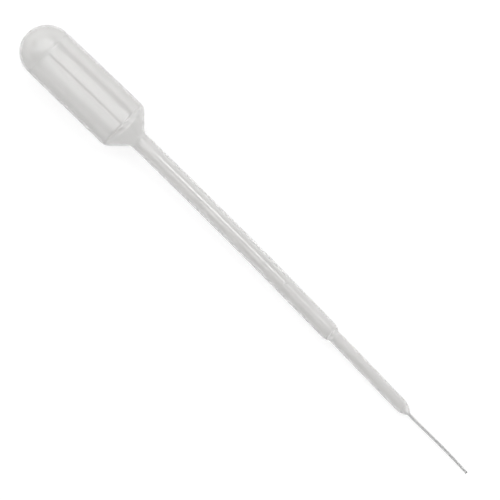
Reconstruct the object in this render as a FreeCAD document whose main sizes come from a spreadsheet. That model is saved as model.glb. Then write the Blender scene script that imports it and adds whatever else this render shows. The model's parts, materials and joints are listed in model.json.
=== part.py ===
"""Plastic dropper pipette, blow-moulded in one piece of soft clear polyethylene.

One hollow skin makes the whole thing: a squeeze bulb with a domed end, a 45 degree neck, a long
straight stem, a narrower lower tube and a fine drawn tip, open only at the very end of that tip.

The piece is drawn along its own axis, the bulb's crown at x = 0 and the tip at +x, as two half
sections over that axis: the outside is revolved, then the hollow is revolved and cut from it.
Last, the piece is laid down as it comes to rest on a flat surface, nose down, on the rim of the
bulb's shoulder and on whichever of the lower tube's end and the tip's end touches first.
Frame: millimetres, +Z up, +X towards the tip, origin at the middle of the footprint.
"""
import FreeCAD, Part
import Sketcher
import math
import os

Vector = FreeCAD.Vector

SIZES = {
    # Lengths along the axis, each from where the one before it ends.
    "bulb_length": 33.4,          # crown to the sharp corner where barrel and neck cone would meet
    "stem_length": 67.06,         # sharp corner of cone and stem, to where the stem rounds down
    "throat_length": 5.9,         # from there to where the waisted top of the lower tube has widened
    "lower_tube_length": 20.1,    # from there to where the lower tube closes in on the fine tip
    "tip_length": 23.9,           # from there to the open end
    # Outside radii.
    "bulb_radius": 6.98,          # the barrel at its shoulder corner
    "barrel_draft": 0.12,         # how much narrower the barrel is where it meets the crown
    "stem_radius": 2.34,
    "throat_radius": 1.59,
    "lower_tube_radius": 1.66,
    "tip_root_radius": 0.41,
    "tip_end_radius": 0.32,
    # The neck cone, and the rounds between one width and the next.
    "neck_angle": 45.0,
    "shoulder_round": 3.0,
    "neck_round": 1.2,
    "step_round": 3.5,
    "throat_round": 0.5,
    "nose_round": 4.2,
    # The skin's thickness on each stretch, and the bore of the tip.
    "bulb_wall": 0.45,
    "stem_wall": 0.50,
    "lower_tube_wall": 0.45,
    "tip_root_bore_radius": 0.20,
    "tip_end_bore_radius": 0.17,
}

# Places along the axis, as the sheet works them out, each from the crown of the bulb.
CROWN_RADIUS = "(Sizes.bulb_radius - Sizes.barrel_draft)"
STEM_END = ("(Sizes.bulb_length + (Sizes.bulb_radius - Sizes.stem_radius) / tan(Sizes.neck_angle)"
            " + Sizes.stem_length)")
THROAT_END = f"({STEM_END} + Sizes.throat_length)"
TUBE_END = f"({THROAT_END} + Sizes.lower_tube_length)"
TIP_END = f"({TUBE_END} + Sizes.tip_length)"


def make_sheet(doc):
    """Writes every driving size into the spreadsheet, one row each, under its own name."""
    sheet = doc.addObject("Spreadsheet::Sheet", "Sizes")
    for row, (name, value) in enumerate(SIZES.items(), start=1):
        sheet.set(f"A{row}", name)
        sheet.set(f"B{row}", str(value))
        sheet.setAlias(f"B{row}", name)
    doc.recompute()


class HalfSection:
    """A closed half section over the axis, drawn left to right, each edge joined to the last.

    The points handed in are close first guesses, worked out from the sizes. The constraints,
    each bound to the sheet, then hold every edge exactly.
    """

    START, END, CENTRE = 1, 2, 3
    AXIS = -1

    def __init__(self, sketch):
        self.sketch = sketch
        self.first = None
        self.last = None

    def join(self, edge, near, far, smooth):
        """Joins the edge's near end to the outline so far, and goes on from its far end."""
        if self.last is None:
            self.first = (edge, near)
        else:
            kind = "Tangent" if smooth else "Coincident"
            self.sketch.addConstraint(Sketcher.Constraint(kind, *self.last, edge, near))
        self.last = (edge, far)
        return edge

    def line(self, start, end, smooth=False):
        """A straight edge between two (place, height) points."""
        edge = self.sketch.addGeometry(Part.LineSegment(Vector(*start, 0), Vector(*end, 0)), False)
        return self.join(edge, self.START, self.END, smooth)

    def arc(self, centre, radius, left, right, smooth=True):
        """A rounded edge, its left and right ends given as angles in degrees about its centre."""
        circle = Part.Circle(Vector(*centre, 0), Vector(0, 0, 1), radius)
        low, high = sorted((math.radians(left), math.radians(right)))
        edge = self.sketch.addGeometry(Part.ArcOfCircle(circle, low, high), False)
        if left > right:
            return self.join(edge, self.END, self.START, smooth)
        return self.join(edge, self.START, self.END, smooth)

    def corner(self, place, height, *edges):
        """A construction point that these straight edges would meet in, if nothing rounded it."""
        point = self.sketch.addGeometry(Part.Point(Vector(place, height, 0)), True)
        for edge in edges:
            self.sketch.addConstraint(Sketcher.Constraint("PointOnObject", point, self.START, edge))
        return point

    def close(self):
        """Joins the last edge back to the first."""
        self.sketch.addConstraint(Sketcher.Constraint("Coincident", *self.last, *self.first))

    def bind(self, name, constraint, expression):
        """Adds one constraint under its own name, its value bound to the sheet."""
        index = self.sketch.addConstraint(constraint)
        self.sketch.renameConstraint(index, name)
        self.sketch.setExpression(f"Constraints.{name}", expression)

    def along(self, name, edge, point, value, expression):
        """Places a point of an edge along the axis, from the crown of the bulb."""
        self.bind(name, Sketcher.Constraint("DistanceX", self.AXIS, 1, edge, point, value), expression)

    def above(self, name, edge, point, value, expression):
        """Places a point of an edge above the axis."""
        self.bind(name, Sketcher.Constraint("DistanceY", self.AXIS, 1, edge, point, value), expression)

    def radius(self, name, edge, value, expression):
        """Sizes a rounded edge."""
        self.bind(name, Sketcher.Constraint("Radius", edge, value), expression)

    def on_axis(self, edge, point):
        """Keeps a point of an edge on the axis."""
        self.sketch.addConstraint(Sketcher.Constraint("PointOnObject", edge, point, self.AXIS))


def fall_angle(radius, fall):
    """Angle in degrees over which a round of this radius comes down by `fall` from level."""
    return math.degrees(math.acos(1 - fall / radius))


def draw_side(sketch, hollow):
    """Draws one side of the skin: its outside, or the hollow inside it.

    Both sides have the same edges in the same order. The hollow's lie one wall further in, and
    its rounds share their centres with the outside's, so the skin keeps its thickness round them.
    """
    bulb_wall = SIZES["bulb_wall"] if hollow else 0.0
    stem_wall = SIZES["stem_wall"] if hollow else 0.0
    tube_wall = SIZES["lower_tube_wall"] if hollow else 0.0
    less_bulb_wall = " - Sizes.bulb_wall" if hollow else ""
    less_stem_wall = " - Sizes.stem_wall" if hollow else ""
    less_tube_wall = " - Sizes.lower_tube_wall" if hollow else ""
    more_stem_wall = " + Sizes.stem_wall" if hollow else ""
    more_tube_wall = " + Sizes.lower_tube_wall" if hollow else ""
    tip_root = "tip_root_bore_radius" if hollow else "tip_root_radius"
    tip_end = "tip_end_bore_radius" if hollow else "tip_end_radius"

    # Radii and rounds of this side.
    bulb = SIZES["bulb_radius"] - bulb_wall
    crown = bulb - SIZES["barrel_draft"]
    stem = SIZES["stem_radius"] - stem_wall
    throat = SIZES["throat_radius"] - tube_wall
    tube = SIZES["lower_tube_radius"] - tube_wall
    shoulder_round = SIZES["shoulder_round"] - bulb_wall
    neck_round = SIZES["neck_round"] + stem_wall
    step_round = SIZES["step_round"] - stem_wall
    throat_round = SIZES["throat_round"] + tube_wall
    nose_round = SIZES["nose_round"] - tube_wall

    # Places along the axis. The hollow's shoulder corner lies back by what its wall needs.
    neck_angle = SIZES["neck_angle"]
    slope = math.radians(neck_angle)
    crown_centre = SIZES["bulb_radius"] - SIZES["barrel_draft"]
    bulb_end = SIZES["bulb_length"] - bulb_wall * math.tan(slope / 2)
    neck_end = bulb_end + (bulb - stem) / math.tan(slope)
    stem_rise = SIZES["bulb_radius"] - SIZES["stem_radius"]
    stem_end = SIZES["bulb_length"] + stem_rise / math.tan(slope) + SIZES["stem_length"]
    throat_end = stem_end + SIZES["throat_length"]
    tube_end = throat_end + SIZES["lower_tube_length"]
    tip_place = tube_end + SIZES["tip_length"]

    # First guesses for where each round meets the straight edges beside it.
    shoulder_set = shoulder_round * math.tan(slope / 2)
    shoulder_from = (bulb_end - shoulder_set, bulb)
    shoulder_to = (bulb_end + shoulder_set * math.cos(slope), bulb - shoulder_set * math.sin(slope))
    neck_set = neck_round * math.tan(slope / 2)
    neck_from = (neck_end - neck_set * math.cos(slope), stem + neck_set * math.sin(slope))
    neck_to = (neck_end + neck_set, stem)
    step_turn = fall_angle(step_round + throat_round, stem - throat)
    throat_from = (stem_end + (step_round + throat_round) * math.sin(math.radians(step_turn)), throat)
    nose_turn = fall_angle(nose_round, tube - SIZES[tip_root])
    tip_from = (tube_end + nose_round * math.sin(math.radians(nose_turn)), SIZES[tip_root])

    side = HalfSection(sketch)
    crown_arc = side.arc((crown_centre, 0), crown, 180, 90)
    barrel = side.line((crown_centre, crown), shoulder_from, smooth=True)
    shoulder_arc = side.arc((shoulder_from[0], bulb - shoulder_round), shoulder_round, 90, 90 - neck_angle)
    cone = side.line(shoulder_to, neck_from, smooth=True)
    neck_arc = side.arc((neck_to[0], stem + neck_round), neck_round, 270 - neck_angle, 270)
    stem_edge = side.line(neck_to, (stem_end, stem), smooth=True)
    step_arc = side.arc((stem_end, stem - step_round), step_round, 90, 90 - step_turn)
    throat_arc = side.arc((throat_from[0], throat + throat_round), throat_round, 270 - step_turn, 270)
    throat_edge = side.line(throat_from, (throat_end, tube), smooth=True)
    tube_edge = side.line((throat_end, tube), (tube_end, tube))
    nose_arc = side.arc((tube_end, tube - nose_round), nose_round, 90, 90 - nose_turn)
    tip_edge = side.line(tip_from, (tip_place, SIZES[tip_end]))
    tip_face = side.line((tip_place, SIZES[tip_end]), (tip_place, 0))
    side.line((tip_place, 0), (crown_centre - crown, 0))
    side.close()

    side.on_axis(crown_arc, side.CENTRE)
    side.on_axis(crown_arc, side.END)
    side.along("crown_centre", crown_arc, side.CENTRE, crown_centre, CROWN_RADIUS)
    side.radius("crown_radius", crown_arc, crown, CROWN_RADIUS + less_bulb_wall)

    bulb_end_expression = "Sizes.bulb_length"
    if hollow:
        bulb_end_expression += " - Sizes.bulb_wall * tan(Sizes.neck_angle / 2)"
    shoulder_corner = side.corner(bulb_end, bulb, barrel, cone)
    side.along("bulb_end", shoulder_corner, side.START, bulb_end, bulb_end_expression)
    side.above("bulb_radius", shoulder_corner, side.START, bulb, "Sizes.bulb_radius" + less_bulb_wall)
    side.radius("shoulder_round", shoulder_arc, shoulder_round, "Sizes.shoulder_round" + less_bulb_wall)
    side.bind("neck_slope", Sketcher.Constraint("Angle", side.AXIS, cone, -slope), "-Sizes.neck_angle")
    side.radius("neck_round", neck_arc, neck_round, "Sizes.neck_round" + more_stem_wall)

    sketch.addConstraint(Sketcher.Constraint("Horizontal", stem_edge))
    side.above("stem_radius", stem_edge, side.END, stem, "Sizes.stem_radius" + less_stem_wall)
    side.along("stem_end", stem_edge, side.END, stem_end, STEM_END)
    side.radius("step_round", step_arc, step_round, "Sizes.step_round" + less_stem_wall)
    side.radius("throat_round", throat_arc, throat_round, "Sizes.throat_round" + more_tube_wall)
    side.above("throat_radius", throat_edge, side.START, throat, "Sizes.throat_radius" + less_tube_wall)
    side.along("throat_end", throat_edge, side.END, throat_end, THROAT_END)

    sketch.addConstraint(Sketcher.Constraint("Horizontal", tube_edge))
    side.above("tube_radius", tube_edge, side.END, tube, "Sizes.lower_tube_radius" + less_tube_wall)
    side.along("tube_end", tube_edge, side.END, tube_end, TUBE_END)
    side.radius("nose_round", nose_arc, nose_round, "Sizes.nose_round" + less_tube_wall)
    side.above("tip_root", tip_edge, side.START, SIZES[tip_root], "Sizes." + tip_root)
    side.above("tip_radius", tip_edge, side.END, SIZES[tip_end], "Sizes." + tip_end)
    side.along("tip_end", tip_edge, side.END, tip_place, TIP_END)
    sketch.addConstraint(Sketcher.Constraint("Vertical", tip_face))
    side.on_axis(tip_face, side.END)


def side_sketch(body, name, hollow):
    """Draws one side of the skin on the body's own plane that holds the axis."""
    sketch = body.newObject("Sketcher::SketchObject", name)
    plane = next(feature for feature in body.Origin.OriginFeatures if feature.Role == "XY_Plane")
    sketch.AttachmentSupport = [(plane, "")]
    sketch.MapMode = "FlatFace"
    draw_side(sketch, hollow)
    return sketch


def revolve(body, kind, name, sketch):
    """Revolves a half section a full turn about the axis, to add or to cut."""
    feature = body.newObject(kind, name)
    feature.Profile = sketch
    feature.ReferenceAxis = (sketch, ["H_Axis"])
    feature.Angle = 360.0


def make_pipette(doc):
    """The whole pipette: the outside revolved, the hollow cut from it, then laid on its side."""
    body = doc.addObject("PartDesign::Body", "pipette")
    body.Label = "dropper_pipette"
    revolve(body, "PartDesign::Revolution", "moulding", side_sketch(body, "outside", hollow=False))
    doc.recompute()
    revolve(body, "PartDesign::Groove", "cavity", side_sketch(body, "inside", hollow=True))
    doc.recompute()
    lay_down(body)
    doc.recompute()
    return body


def lay_down(body):
    """Tips the piece nose down until it touches the ground plane, and centres its footprint.

    At the back it leans on the shoulder round. At the front the first of two rims to touch
    carries it: the lower tube's, where the nose round begins, or the one at the tip's end.
    """
    shoulder_place = "(Sizes.bulb_length - Sizes.shoulder_round * tan(Sizes.neck_angle / 2))"
    shoulder_height = "(Sizes.bulb_radius - Sizes.shoulder_round)"
    nose_height = "(Sizes.lower_tube_radius - Sizes.nose_round)"

    def lean(front_place, front_height, front_round):
        """Angle of the straight line that touches the shoulder round and a round at the front."""
        run = f"({front_place} - {shoulder_place})"
        fall = f"({shoulder_height} - {front_height})"
        reach = f"sqrt({run} ^ 2 + {fall} ^ 2)"
        return f"(atan({fall} / {run}) + asin((Sizes.shoulder_round - {front_round}) / {reach}))"

    on_tube = lean(TUBE_END, nose_height, "Sizes.nose_round")
    on_tip = lean(TIP_END, "Sizes.tip_end_radius", "0")
    tilt = f"min({on_tube}; {on_tip})"
    body.Placement.Rotation = FreeCAD.Rotation(Vector(0, 1, 0), 1)
    body.setExpression("Placement.Rotation.Angle", tilt)

    back = f"({CROWN_RADIUS} * cos({tilt}) - {CROWN_RADIUS})"
    front = f"({TIP_END} * cos({tilt}) + Sizes.tip_end_radius * sin({tilt}))"
    lift = f"{shoulder_place} * sin({tilt}) + {shoulder_height} * cos({tilt}) + Sizes.shoulder_round"
    body.setExpression("Placement.Base.x", f"-({back} + {front}) / 2")
    body.setExpression("Placement.Base.z", lift)


def check(doc, body):
    """Stops before anything is written if a feature failed or the solid is not sound."""
    for item in doc.Objects:
        if "Invalid" in item.State or "Error" in item.State:
            raise RuntimeError(f"{item.Name} failed: {item.State}")
    for sketch in doc.findObjects("Sketcher::SketchObject"):
        if sketch.solve() != 0 or not sketch.FullyConstrained:
            raise RuntimeError(f"{sketch.Name} is not held by its constraints")
    shape = body.Shape
    if shape.isNull() or not shape.isValid() or len(shape.Solids) != 1:
        raise RuntimeError(f"{body.Label} is not one sound solid")


def main():
    """Builds the document, checks it and writes the part."""
    doc = FreeCAD.newDocument("dropper_pipette")
    make_sheet(doc)
    pipette = make_pipette(doc)
    check(doc, pipette)
    os.makedirs("parts", exist_ok=True)
    pipette.Shape.exportStep(f"parts/{pipette.Label}.step")
    box = pipette.Shape.optimalBoundingBox(False, False)
    print(f"{pipette.Label}: {box.XLength:.2f} x {box.YLength:.2f} x {box.ZLength:.2f} mm,"
          f" volume {pipette.Shape.Volume:.1f} mm3")


main()
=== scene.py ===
import json
import math
import bpy
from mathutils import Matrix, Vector, noise


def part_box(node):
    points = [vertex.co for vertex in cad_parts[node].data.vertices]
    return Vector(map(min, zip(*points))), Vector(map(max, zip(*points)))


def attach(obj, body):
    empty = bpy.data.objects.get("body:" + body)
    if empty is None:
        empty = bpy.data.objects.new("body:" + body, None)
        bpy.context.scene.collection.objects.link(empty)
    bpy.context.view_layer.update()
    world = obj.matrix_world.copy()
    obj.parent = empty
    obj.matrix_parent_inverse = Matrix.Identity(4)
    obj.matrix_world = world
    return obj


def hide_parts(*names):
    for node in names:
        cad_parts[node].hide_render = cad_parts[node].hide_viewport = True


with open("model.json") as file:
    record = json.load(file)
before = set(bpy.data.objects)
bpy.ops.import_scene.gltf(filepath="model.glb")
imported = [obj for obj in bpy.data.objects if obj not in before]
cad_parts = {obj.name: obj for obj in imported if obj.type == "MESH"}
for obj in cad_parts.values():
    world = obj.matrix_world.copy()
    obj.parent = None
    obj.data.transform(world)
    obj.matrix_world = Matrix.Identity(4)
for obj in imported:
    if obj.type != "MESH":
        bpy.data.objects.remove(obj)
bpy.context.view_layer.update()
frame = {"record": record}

# ------------------------------------------------------------------------------------------------
# The pipette: one hollow skin of soft natural polyethylene, blow-moulded in a two-part mould.
# Bulb, neck cone, stem, lower tube and drawn tip are all the same wall, open only at the tip's end.
# It is turned here as rings about the line that the record's stem mount gives, outside and inside.
# ------------------------------------------------------------------------------------------------
MM = 0.001

# Lengths along the axis in mm, each from where the one before it ends.
BULB_LENGTH = 33.4
STEM_LENGTH = 67.06
THROAT_LENGTH = 5.9
LOWER_TUBE_LENGTH = 20.1
TIP_LENGTH = 23.9

# Outside radii in mm, with the draft that lets the bulb out of its mould, and the neck cone's slope.
BULB_RADIUS = 6.98
BARREL_DRAFT = 0.12
STEM_RADIUS = 2.34
THROAT_RADIUS = 1.59
LOWER_TUBE_RADIUS = 1.66
TIP_ROOT_RADIUS = 0.42
TIP_END_RADIUS = 0.33
NECK_DEGREES = 45
NECK_ANGLE = math.radians(NECK_DEGREES)

# Radii in mm of the rounds in the outside's outline, from the bulb to the nose of the lower tube.
SHOULDER_ROUND = 3.0
NECK_ROUND = 1.2
STEP_ROUND = 3.5
THROAT_ROUND = 0.5
NOSE_ROUND = 4.2

# Walls of the bulb, the stem and the lower tube, and the radii of the tip's bore where it starts and
# ends, all in mm.
WALLS = (0.45, 0.50, 0.45)
BORE_RADII = (0.20, 0.17)

# Places along the axis in mm, from the crown of the bulb.
CROWN_RADIUS = BULB_RADIUS - BARREL_DRAFT
STEM_END = BULB_LENGTH + (BULB_RADIUS - STEM_RADIUS) / math.tan(NECK_ANGLE) + STEM_LENGTH
THROAT_END = STEM_END + THROAT_LENGTH
TUBE_END = THROAT_END + LOWER_TUBE_LENGTH
TIP_END = TUBE_END + TIP_LENGTH

# A short slanted rib moulded on top of the stem, in mm: its place along the axis and to the side, how
# far its finer rings reach, its slant from the axis and its half sizes.
RIB_PLACE = 89.2
RIB_SIDEWAYS = 0.5
RIB_REACH = 1.3
RIB_SLANT = math.radians(57)
RIB_HALF_LENGTH = 0.75
RIB_HALF_WIDTH = 0.2
RIB_HEIGHT = 0.09

# Shallow grooves moulded round the foot of the crown and the shoulders of the bulb, the stem and
# the lower tube, each as its place along the axis, half its width and its depth in mm.
GROOVES = ((7.13, 0.3, 0.09), (32.6, 0.18, 0.11), (106.1, 0.16, 0.13), (132.25, 0.14, 0.1))

# Steps that each round is drawn in; the step's is the shoulder's. Those beside a groove take three
# times as many outside.
CROWN_STEPS = 28
SHOULDER_STEPS = 12
NECK_STEPS = 6
THROAT_STEPS = 5
NOSE_STEPS = 15
GROOVED_FINENESS = 3

# How far apart the rings are along each straight run, in mm, and how far the crown's foot runs on.
FOOT_LENGTH = 1.0
FOOT_SPACING = 0.36
BARREL_SPACING = 0.7
CONE_SPACING = 0.6
STEM_SPACING = 0.9
RIB_SPACING = 0.1
THROAT_SPACING = 0.7
TUBE_SPACING = 0.8
TIP_SPACING = 0.7


def arc(centre, radius, start, end, steps):
    """Points round an arc, its ends given as angles in degrees."""
    for step in range(steps + 1):
        turn = math.radians(start + (end - start) * step / steps)
        yield (centre[0] + radius * math.cos(turn), centre[1] + radius * math.sin(turn))


def run(start, end, spacing):
    """Points along a straight run, both ends left out."""
    steps = max(1, round((end[0] - start[0]) / spacing))
    for step in range(1, steps):
        share = step / steps
        yield (start[0] + (end[0] - start[0]) * share, start[1] + (end[1] - start[1]) * share)


def skin_outline(walls, tip_radii, fineness):
    """One side of the skin as (place, radius) points from the crown to the tip.

    The walls say how far in from the outside it lies at the bulb, the stem and the lower tube.
    """
    bulb_wall, stem_wall, tube_wall = walls
    tip_root_radius, tip_end_radius = tip_radii
    bulb = BULB_RADIUS - bulb_wall
    crown = CROWN_RADIUS - bulb_wall
    stem = STEM_RADIUS - stem_wall
    throat = THROAT_RADIUS - tube_wall
    tube = LOWER_TUBE_RADIUS - tube_wall
    shoulder_round = SHOULDER_ROUND - bulb_wall
    neck_round = NECK_ROUND + stem_wall
    step_round = STEP_ROUND - stem_wall
    throat_round = THROAT_ROUND + tube_wall
    nose_round = NOSE_ROUND - tube_wall

    # Where each round's centre is, and how far the waisted step and the nose turn in.
    half_neck = math.tan(NECK_ANGLE / 2)
    bulb_end = BULB_LENGTH - bulb_wall * half_neck
    shoulder = (bulb_end - shoulder_round * half_neck, bulb - shoulder_round)
    neck_end = bulb_end + (bulb - stem) / math.tan(NECK_ANGLE)
    neck = (neck_end + neck_round * half_neck, stem + neck_round)
    step = (STEM_END, stem - step_round)
    step_turn = math.degrees(math.acos(1 - (stem - throat) / (step_round + throat_round)))
    throat_place = STEM_END + (step_round + throat_round) * math.sin(math.radians(step_turn))
    throat_centre = (throat_place, throat + throat_round)
    nose = (TUBE_END, tube - nose_round)
    nose_turn = math.degrees(math.acos(1 - (tube - tip_root_radius) / nose_round))

    foot_end = (CROWN_RADIUS + FOOT_LENGTH, crown)
    neck_rise = list(arc(neck, neck_round, 270 - NECK_DEGREES, 270, NECK_STEPS))
    throat_rise = list(arc(throat_centre, throat_round, 270 - step_turn, 270, THROAT_STEPS))
    rib_start = (RIB_PLACE - RIB_REACH, stem)
    rib_end = (RIB_PLACE + RIB_REACH, stem)

    outline = list(arc((CROWN_RADIUS, 0), crown, 180, 90, CROWN_STEPS * fineness))
    outline += run(outline[-1], foot_end, FOOT_SPACING / fineness)
    outline.append(foot_end)
    outline += run(foot_end, (shoulder[0], bulb), BARREL_SPACING)
    outline += arc(shoulder, shoulder_round, 90, 90 - NECK_DEGREES, SHOULDER_STEPS * fineness)
    outline += run(outline[-1], neck_rise[0], CONE_SPACING)
    outline += neck_rise
    outline += run(neck_rise[-1], rib_start, STEM_SPACING)
    outline += run(rib_start, rib_end, RIB_SPACING)
    outline += run(rib_end, (STEM_END, stem), STEM_SPACING)
    outline += arc(step, step_round, 90, 90 - step_turn, SHOULDER_STEPS * fineness)
    outline += throat_rise[1:]
    outline += run(outline[-1], (THROAT_END, tube), THROAT_SPACING)
    outline += run((THROAT_END, tube), (TUBE_END, tube), TUBE_SPACING)
    outline += arc(nose, nose_round, 90, 90 - nose_turn, NOSE_STEPS * fineness)
    outline += run(outline[-1], (TIP_END, tip_end_radius), TIP_SPACING)
    outline.append((TIP_END, tip_end_radius))
    return outline


outside = skin_outline((0, 0, 0), (TIP_ROOT_RADIUS, TIP_END_RADIUS), GROOVED_FINENESS)
inside = skin_outline(WALLS, BORE_RADII, 1)

# The line the skin is turned about: the stem mount's axis, with the crown set against the CAD box.
stem_mount = next(mount for mount in frame["record"]["mounts"] if mount["name"] == "stem")
along = Vector(stem_mount["axis"]).normalized()
across = Vector((0, 1, 0))
upward = along.cross(across)
on_axis = Vector(stem_mount["pos_m"])
crown_centre_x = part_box("dropper_pipette")[0][0] + CROWN_RADIUS * MM
crown_centre = on_axis + along * ((crown_centre_x - on_axis.x) / along.x)
crown_point = crown_centre - along * (CROWN_RADIUS * MM)

# The mould's parting line runs down the north and south sides as a fine raised line, its height in
# mm. The rings have extra points close to it, and a point that falls on another is left out.
SEGMENTS = 120
SEAM_HEIGHT = 0.02
SEAM_HALF_WIDTH = math.radians(2.0)
turns = [2 * math.pi * segment / SEGMENTS for segment in range(SEGMENTS)]
for side in (0.0, math.pi):
    turns += [side + offset * SEAM_HALF_WIDTH for offset in (-1.5, -1, -0.5, 0.5, 1, 1.5)]
turns = sorted({round(turn % (2 * math.pi), 6) for turn in turns})


def seam_rise(turn):
    """Height of the parting line at this turn about the axis, in mm."""
    from_north = abs(math.remainder(turn, 2 * math.pi))
    from_south = abs(math.remainder(turn - math.pi, 2 * math.pi))
    away = min(from_north, from_south)
    return SEAM_HEIGHT * math.exp(-((away / SEAM_HALF_WIDTH) ** 2) * 2)


def rib_rise(place, radius, turn):
    """Height of the slanted rib at this place on the stem, in mm."""
    if abs(place - RIB_PLACE) > RIB_REACH or math.sin(turn) < 0:
        return 0.0
    onward = place - RIB_PLACE
    sideways = radius * math.cos(turn) - RIB_SIDEWAYS
    length = onward * math.cos(RIB_SLANT) + sideways * math.sin(RIB_SLANT)
    width = sideways * math.cos(RIB_SLANT) - onward * math.sin(RIB_SLANT)
    return RIB_HEIGHT * math.exp(-((length / RIB_HALF_LENGTH) ** 4) - (width / RIB_HALF_WIDTH) ** 2)


# How the pipette has bent sideways, as soft ones do, in mm: the bulb leans so much for each mm, the
# stem bows to the north, the lower tube carries the curve on to the south and a little farther, and
# the drawn tip sways. Half a sway is SWAY_LENGTH long, and it sets in over SWAY_EASE.
BULB_LEAN = 0.022
BOW_START = 29
BOW_END = 116
BOW_HEIGHT = 0.42
TUBE_SHARE = 1.25
SWAY_START = 135
SWAY_LENGTH = 12
SWAY_HEIGHT = 0.12
SWAY_EASE = 4


def bow(place):
    """How far the pipette has bent sideways at this place, in mm."""
    if place < BOW_START:
        return BULB_LEAN * (place - BOW_START)
    swing = BOW_HEIGHT * math.sin(math.pi * (place - BOW_START) / (BOW_END - BOW_START))
    if place > BOW_END:
        swing *= TUBE_SHARE
    drawn = max(0.0, min(1.0, (place - TUBE_END) / SWAY_EASE))
    sway = SWAY_HEIGHT * math.cos(math.pi * max(0.0, place - SWAY_START) / SWAY_LENGTH)
    return swing - drawn * sway


def ring_point(place, radius, turn):
    """The point at this place along the axis, this far out, at this turn from the +Y side."""
    sideways = across * math.cos(turn) + upward * math.sin(turn)
    return crown_point + along * (place * MM) + sideways * (radius * MM) + across * (bow(place) * MM)


def add_rings(vertices, faces, outline, wobble, outward):
    """Adds one side of the skin: a pole at the crown, then a ring of points for each step.

    Returns the number of the last ring's first point.
    """
    pole = len(vertices)
    first = pole + 1
    count = len(turns)
    rings = len(outline) - 1
    vertices.append(ring_point(outline[0][0], 0, 0))
    for place, radius in outline[1:]:
        for turn in turns:
            vertices.append(ring_point(place, radius + wobble(place, radius, turn), turn))
    for segment in range(count):
        following = (segment + 1) % count
        face = (pole, first + following, first + segment)
        faces.append(face if outward else face[::-1])
        for ring in range(rings - 1):
            near = first + ring * count
            far = near + count
            face = (near + segment, near + following, far + following, far + segment)
            faces.append(face if outward else face[::-1])
    return first + (rings - 1) * count


# The unevenness of the blown skin: how deep it is on the bulb in mm, and how many of its patches go
# to a mm along and across. The hollow's pattern starts elsewhere, so the wall's thickness varies.
OUTSIDE_DEPTH = 0.015
OUTSIDE_PATCHES = (0.05, 0.12)
HOLLOW_DEPTH = 0.02
HOLLOW_PATCHES = (0.04, 0.15)
HOLLOW_START = 40


def patchy(place, radius, turn, patches, start):
    """Smooth noise over the skin, from -1 to 1."""
    along_rate, across_rate = patches
    sideways = radius * math.cos(turn) * across_rate
    height = radius * math.sin(turn) * across_rate
    return noise.noise(Vector((place * along_rate + start, sideways, height)))


def outside_wobble(place, radius, turn):
    """What the outside adds to its radius in mm: unevenness kept inwards, grooves, seam and rib."""
    share = min(1.0, radius / BULB_RADIUS)
    swell = patchy(place, radius, turn, OUTSIDE_PATCHES, 0) * 0.5 + 0.5
    groove = 0.0
    for middle, half_width, depth in GROOVES:
        groove += depth * math.exp(-(((place - middle) / half_width) ** 2))
    raised = seam_rise(turn) * share + rib_rise(place, radius, turn)
    return raised - groove - OUTSIDE_DEPTH * share * swell


def inside_wobble(place, radius, turn):
    """What the hollow adds to its radius in mm."""
    share = min(1.0, radius / BULB_RADIUS)
    return HOLLOW_DEPTH * share * patchy(place, radius, turn, HOLLOW_PATCHES, HOLLOW_START)


# Both sides are joined by a ring of faces at the cut end of the tip.
vertices, faces = [], []
outer_rim = add_rings(vertices, faces, outside, outside_wobble, outward=True)
inner_rim = add_rings(vertices, faces, inside, inside_wobble, outward=False)
for segment in range(len(turns)):
    following = (segment + 1) % len(turns)
    faces.append((outer_rim + segment, outer_rim + following, inner_rim + following, inner_rim + segment))
mesh = bpy.data.meshes.new("pipette_skin")
mesh.from_pydata([tuple(vertex) for vertex in vertices], [], faces)
mesh.validate()
mesh.shade_smooth()
pipette = bpy.data.objects.new("pipette_skin", mesh)
bpy.context.scene.collection.objects.link(pipette)


def linear(hex_colour):
    """A linear colour with full alpha from an sRGB hex value."""
    colour = []
    for place in (0, 2, 4):
        part = int(hex_colour[place:place + 2], 16) / 255
        colour.append(part / 12.92 if part <= 0.04045 else ((part + 0.055) / 1.055) ** 2.4)
    return (*colour, 1.0)


def node(tree, kind, settings=None, links=None):
    """Adds a node, sets its properties and plain socket values, and links its sockets.

    A socket goes by its name, or by its number where several sockets share a name.
    """
    made = tree.nodes.new(kind)
    for name, value in (settings or {}).items():
        if isinstance(name, int) or name in made.inputs:
            made.inputs[name].default_value = value
        else:
            setattr(made, name, value)
    for name, source in (links or {}).items():
        tree.links.new(source, made.inputs[name])
    return made


# How wide the plastic's patches of haze are, how wide and high the waves are that the mould's polish
# leaves, and how far beyond the straight tube the painted shade on the tip starts and over what length,
# all in mm.
HAZE_WIDTH = 5.56
WAVE_WIDTH = 1.18
WAVE_HEIGHT = 0.0002
PAINTED_SHADE_START = 2.0
PAINTED_SHADE_BLEND = 1.5

# A Mix node's two colours in and its colour out, whose names its other kinds of socket share.
MIX_FIRST = 6
MIX_SECOND = 7
MIX_RESULT = 2


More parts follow.
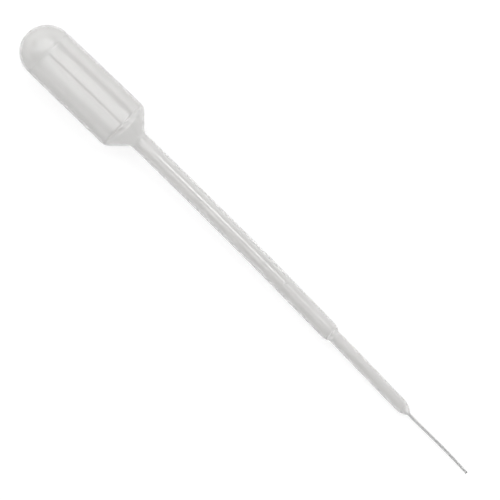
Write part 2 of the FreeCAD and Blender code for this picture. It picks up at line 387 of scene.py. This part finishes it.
def moulded_polyethylene():
    """Natural low-density polyethylene off a polished blow mould: see-through but milky, soft gloss.

    It has no dye, so its colour is the faint warm grey of the plastic. Haze drifts through the skin
    in patches a few millimetres wide. Where the tip is drawn out the colour turns greyer as painted
    shade.
    The polish of the mould leaves a very slight waviness, about 1 mm across and 0.2 microns high.
    """
    material = bpy.data.materials.new("natural_ldpe_blow_moulded")
    material.use_nodes = True
    tree = material.node_tree
    tree.nodes.clear()
    place = node(tree, "ShaderNodeTexCoord").outputs["Object"]
    haze = node(tree, "ShaderNodeTexNoise", {
        "Scale": 1 / (HAZE_WIDTH * MM),
        "Detail": 3.0,
    }, {"Vector": place}).outputs["Fac"]
    rough = node(tree, "ShaderNodeMapRange", {"To Min": 0.03, "To Max": 0.045}, {"Value": haze})
    milky = node(tree, "ShaderNodeMix", {
        "data_type": "RGBA",
        MIX_FIRST: linear("F3F2F1"),
        MIX_SECOND: linear("F7F7F6"),
    }, {"Factor": haze})
    # Painted shade: past the straight tube the base colour turns greyer, towards E7E7E7. This stands in
    # for the darker look that the thin tip gets from what it refracts.
    along_x = node(tree, "ShaderNodeSeparateXYZ", links={"Vector": place}).outputs["X"]
    painted_shade_x = (crown_point + along * ((TUBE_END + PAINTED_SHADE_START) * MM)).x
    drawn = node(tree, "ShaderNodeMapRange", {
        "From Min": painted_shade_x,
        "From Max": painted_shade_x + PAINTED_SHADE_BLEND * MM,
    }, {"Value": along_x})
    colour = node(tree, "ShaderNodeMix", {
        "data_type": "RGBA",
        MIX_SECOND: linear("E7E7E7"),
    }, {"Factor": drawn.outputs["Result"], MIX_FIRST: milky.outputs[MIX_RESULT]})
    polish = node(tree, "ShaderNodeTexNoise", {
        "Scale": 1 / (WAVE_WIDTH * MM),
        "Detail": 1.0,
    }, {"Vector": place}).outputs["Fac"]
    waves = node(tree, "ShaderNodeBump", {
        "Strength": 1.0,
        "Distance": WAVE_HEIGHT * MM,
    }, {"Height": polish})
    # The index is polyethylene's own. The share of light that doesn't pass is scattered as milkiness.
    skin = node(tree, "ShaderNodeBsdfPrincipled", {
        "IOR": 1.51,
        "Transmission Weight": 0.70,
    }, {
        "Base Color": colour.outputs[MIX_RESULT],
        "Roughness": rough.outputs["Result"],
        "Normal": waves.outputs["Normal"],
    })
    node(tree, "ShaderNodeOutputMaterial", links={"Surface": skin.outputs["BSDF"]})
    return material


mesh.materials.append(moulded_polyethylene())
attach(pipette, "root")
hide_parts("dropper_pipette")

# ------------------------------------------------------------------------------------------------
# The table: a round white sweep of matt card that the pipette lies on, curving up into a low wall
# far behind it, so that the ground stays pale from the side as well. Its sizes are in metres.
# ------------------------------------------------------------------------------------------------
SWEEP_RADIUS = 3.0
COVE_RADIUS = 0.6
COVE_STEPS = 12
WALL_TOP = 1.3
SWEEP_SIDES = 96
CARD_LIFT = 0.81

sweep_outline = [(SWEEP_RADIUS, 0.0)]
sweep_outline += list(arc((SWEEP_RADIUS, COVE_RADIUS), COVE_RADIUS, -90, 0, COVE_STEPS))[1:]
sweep_outline.append((SWEEP_RADIUS + COVE_RADIUS, WALL_TOP))
sweep_points = [(0.0, 0.0, 0.0)]
sweep_faces = []
for radius, height in sweep_outline:
    for side in range(SWEEP_SIDES):
        turn = 2 * math.pi * side / SWEEP_SIDES
        sweep_points.append((radius * math.cos(turn), radius * math.sin(turn), height))
for side in range(SWEEP_SIDES):
    following = (side + 1) % SWEEP_SIDES
    sweep_faces.append((0, 1 + side, 1 + following))
    for ring in range(len(sweep_outline) - 1):
        near = 1 + ring * SWEEP_SIDES
        far = near + SWEEP_SIDES
        sweep_faces.append((near + side, far + side, far + following, near + following))
floor_mesh = bpy.data.meshes.new("white_sweep")
floor_mesh.from_pydata(sweep_points, [], sweep_faces)
floor_mesh.shade_smooth()
floor = bpy.data.objects.new("white_sweep", floor_mesh)
bpy.context.scene.collection.objects.link(floor)


def looked_at(tree):
    """1 for a ray from the camera, a reflection or a look through the plastic, else 0."""
    path = node(tree, "ShaderNodeLightPath").outputs
    seen = path["Is Camera Ray"]
    for kind in ("Is Glossy Ray", "Is Transmission Ray"):
        either = node(tree, "ShaderNodeMath", {"operation": "MAXIMUM"}, {0: seen, 1: path[kind]})
        seen = either.outputs[0]
    return seen


def white_card():
    """Matt white card, lifted to plain white where it is looked at, with its shadows kept."""
    material = bpy.data.materials.new("matt_white_card")
    material.use_nodes = True
    tree = material.node_tree
    tree.nodes.clear()
    card = node(tree, "ShaderNodeBsdfDiffuse", {"Color": linear("8C8C8C")})
    lift = node(tree, "ShaderNodeMath", {"operation": "MULTIPLY", 1: CARD_LIFT}, {0: looked_at(tree)})
    glow = node(tree, "ShaderNodeEmission", {"Color": linear("FFFFFF")}, {"Strength": lift.outputs[0]})
    both = node(tree, "ShaderNodeAddShader", links={0: card.outputs[0], 1: glow.outputs[0]})
    node(tree, "ShaderNodeOutputMaterial", links={"Surface": both.outputs[0]})
    return material


floor_mesh.materials.append(white_card())

# ------------------------------------------------------------------------------------------------
# The light: level soft panels half a metre up, a low upright one at each side, and a pale room.
# The skin mirrors the level ones as long stripes, so each stretch of it has panels of its own.
# ------------------------------------------------------------------------------------------------
PANEL_HEIGHT = 0.5
SIDE_DISTANCE = 0.9
SIDE_WIDTH = 1.6
ROOM_STRENGTH = 0.10


def soft_panel(name, centre, size, radiance):
    """A flat soft light of this size in metres, shining straight down."""
    lamp = bpy.data.lights.new(name, "AREA")
    lamp.shape = "RECTANGLE"
    lamp.size, lamp.size_y = size
    lamp.energy = radiance * math.pi * size[0] * size[1]
    panel = bpy.data.objects.new(name, lamp)
    panel.location = centre
    panel.visible_camera = False
    bpy.context.scene.collection.objects.link(panel)
    return panel


def overhead(name, west, east, south, north, radiance):
    """A level panel, its west and east edges in metres and the others in degrees from straight up."""
    low, high = (PANEL_HEIGHT * math.tan(math.radians(edge)) for edge in (south, north))
    centre = ((west + east) / 2, (low + high) / 2, PANEL_HEIGHT)
    soft_panel(name, centre, (east - west, high - low), radiance)


def beside(name, towards, height, radiance):
    """A panel this high that stands on the table on this side of the pipette and faces it."""
    centre = Vector(towards) * SIDE_DISTANCE + Vector((0, 0, height / 2))
    panel = soft_panel(name, centre, (SIDE_WIDTH, height), radiance)
    panel.rotation_euler = (-Vector(towards)).to_track_quat("-Z", "Y").to_euler()


# Over the bulb, with a slit between north and south that shows as the dark line along it.
overhead("bulb_north", -0.067, 0.002, 3.9, 48, 2.0)
overhead("bulb_south", -0.067, 0.004, -42, -3.9, 2.15)
overhead("bulb_south_low", -0.067, 0.004, -70, -42, 1.25)

# Over the stem and the lower tube, dimmer towards the tip.
overhead("stem_north", -0.012, 0.045, 21, 37, 6.4)
overhead("stem_north_middle", 0.045, 0.070, 21, 37, 5.2)
overhead("stem_north_end", 0.070, 0.105, 21, 37, 4.0)
overhead("tube_north", 0.105, 0.145, 18, 50, 2.0)
overhead("stem_south", 0.004, 0.105, -20, -6, 1.8)

# Beyond the crown, which mirrors them as one soft patch on its dome.
overhead("dome_1", -0.17, -0.102, -1, 52, 2.5)
overhead("dome_2", -0.35, -0.17, -19, 62, 2.5)
overhead("dome_3", -0.57, -0.35, -31, 58, 2.4)
overhead("dome_4", -0.88, -0.57, -12, 50, 2.0)
overhead("dome_south", -1.3, -0.57, -56, -31, 1.4)
overhead("dome_south_near", -0.57, -0.1, -50, -31, 0.8)

# Beyond the tip, for the slopes that face it: the neck cone, the step and the nose of the tube.
overhead("east_far", 0.46, 0.60, -5, 47, 6.0)

beside("north", (0, 1, 0), 0.16, 1.2)
beside("south", (0, -1, 0), 0.2, 0.6)
beside("east", (1, 0, 0), 0.2, 4.0)
beside("west", (-1, 0, 0), 0.2, 0.8)

world = bpy.data.worlds.new("pale_room")
world.use_nodes = True
world.node_tree.nodes.clear()
room = node(world.node_tree, "ShaderNodeBackground", {
    "Color": linear("FFFFFF"),
    "Strength": ROOM_STRENGTH,
})
node(world.node_tree, "ShaderNodeOutputWorld", links={"Surface": room.outputs[0]})
bpy.context.scene.world = world

# ------------------------------------------------------------------------------------------------
# The camera: a long lens straight above, turned so that the pipette runs from the upper left to the
# lower right. All in mm: the width of table it sees, its lens and sensor, and the point it is over.
# ------------------------------------------------------------------------------------------------
VIEW_WIDTH = 124.94
LENS = 300.0
SENSOR = 36.0
AIM_EAST = -0.27
AIM_NORTH = 0.44
TURN = math.radians(45.07)

camera_data = bpy.data.cameras.new("camera")
camera_data.lens = LENS
camera_data.sensor_width = SENSOR
camera = bpy.data.objects.new("camera", camera_data)
camera.location = (AIM_EAST * MM, AIM_NORTH * MM, VIEW_WIDTH * MM * LENS / SENSOR)
camera.rotation_euler = (0, 0, TURN)
bpy.context.scene.collection.objects.link(camera)
bpy.context.scene.camera = camera
bpy.context.scene.view_settings.view_transform = "Standard"
